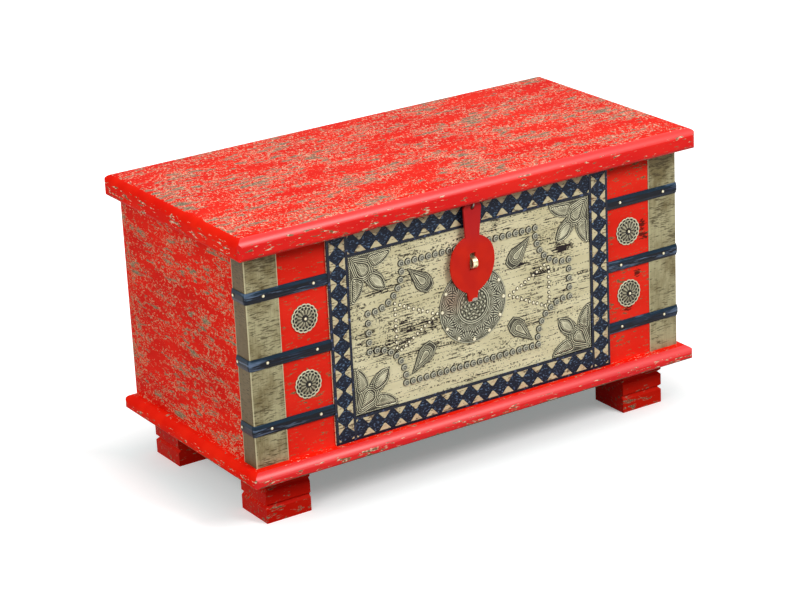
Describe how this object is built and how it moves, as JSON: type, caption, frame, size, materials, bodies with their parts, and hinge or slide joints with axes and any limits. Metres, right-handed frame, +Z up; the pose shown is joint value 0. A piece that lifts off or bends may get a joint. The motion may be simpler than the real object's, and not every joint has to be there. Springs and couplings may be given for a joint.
{
  "type": "storage chest",
  "caption": "Painted wooden storage chest on four carved feet, with a hinged lid, brass corner wraps, straps, an ornamental nailed front panel and a hasp on a staple.",
  "frame": {"origin": "on the floor, under the middle of the chest's bounding box", "axes": "+X along the front to the right as seen from the front, +Y from the front to the back, +Z up"},
  "size_m": [0.8, 0.4014, 0.4505],
  "materials": {
    "aged_brass_sheet": "aged, brushed",
    "brass_bar": "polished, worn",
    "brass_nails": "satin",
    "cream_panel": "matt paint, worn through in dark scratches",
    "dark_iron": "dark lacquer over brushed iron",
    "embossed_sheet": "aged, embossed",
    "hinge_steel": "dull",
    "navy_bead": "semi-gloss paint",
    "painted_border": "dark ground with worn cream triangles",
    "pewter_nails": "dull",
    "red_painted_iron": "satin",
    "red_painted_wood": "gloss paint, rubbed back in fine flecks"
  },
  "bodies": {
    "carcass": {"back_board": "red_painted_wood", "base_board": "red_painted_wood", "border_beads": "navy_bead", "border_bottom": "painted_border", "border_left": "painted_border", "border_right": "painted_border", "border_top": "painted_border", "corner_plate_bottom_left": "embossed_sheet", "corner_plate_bottom_right": "embossed_sheet", "corner_plate_top_left": "embossed_sheet", "corner_plate_top_right": "embossed_sheet", "corner_wrap_left": "aged_brass_sheet", "corner_wrap_right": "aged_brass_sheet", "dome_nails": "pewter_nails", "end_board_left": "red_painted_wood", "end_board_right": "red_painted_wood", "foot_back_left": "red_painted_wood", "foot_back_right": "red_painted_wood", "foot_front_left": "red_painted_wood", "foot_front_right": "red_painted_wood", "front_board": "red_painted_wood", "hasp_staple": "brass_bar", "hinge_pin_left": "hinge_steel", "hinge_pin_right": "hinge_steel", "hinge_wall_leaf_left": "hinge_steel", "hinge_wall_leaf_right": "hinge_steel", "kite_plate_bottom_left": "embossed_sheet", "kite_plate_bottom_right": "embossed_sheet", "kite_plate_top_left": "embossed_sheet", "kite_plate_top_right": "embossed_sheet", "medallion": "embossed_sheet", "medallion_nails": "brass_nails", "panel_board": "cream_panel", "rosette_left_lower": "aged_brass_sheet", "rosette_left_upper": "aged_brass_sheet", "rosette_nails": "brass_nails", "rosette_right_lower": "aged_brass_sheet", "rosette_right_upper": "aged_brass_sheet", "strap_left_bottom": "dark_iron", "strap_left_middle": "dark_iron", "strap_left_top": "dark_iron", "strap_nails": "brass_nails", "strap_right_bottom": "dark_iron", "strap_right_middle": "dark_iron", "strap_right_top": "dark_iron"},
    "lid": {"hasp_eye": "hinge_steel", "hinge_lid_leaf_left": "hinge_steel", "hinge_lid_leaf_right": "hinge_steel", "lid_board": "red_painted_wood"},
    "hasp": {"hasp": "red_painted_iron"}
  },
  "joints": [
    {"name": "lid_hinge", "type": "hinge", "parent": "carcass", "child": "lid", "pos_m": [0, 0.19275, 0.414], "axis": [-1, 0, 0], "range_deg": [0, 110]},
    {"name": "hasp_hinge", "type": "hinge", "parent": "lid", "child": "hasp", "pos_m": [-0.005, -0.18765, 0.4155], "axis": [-1, 0, 0], "range_deg": [0, 90]}
  ]
}
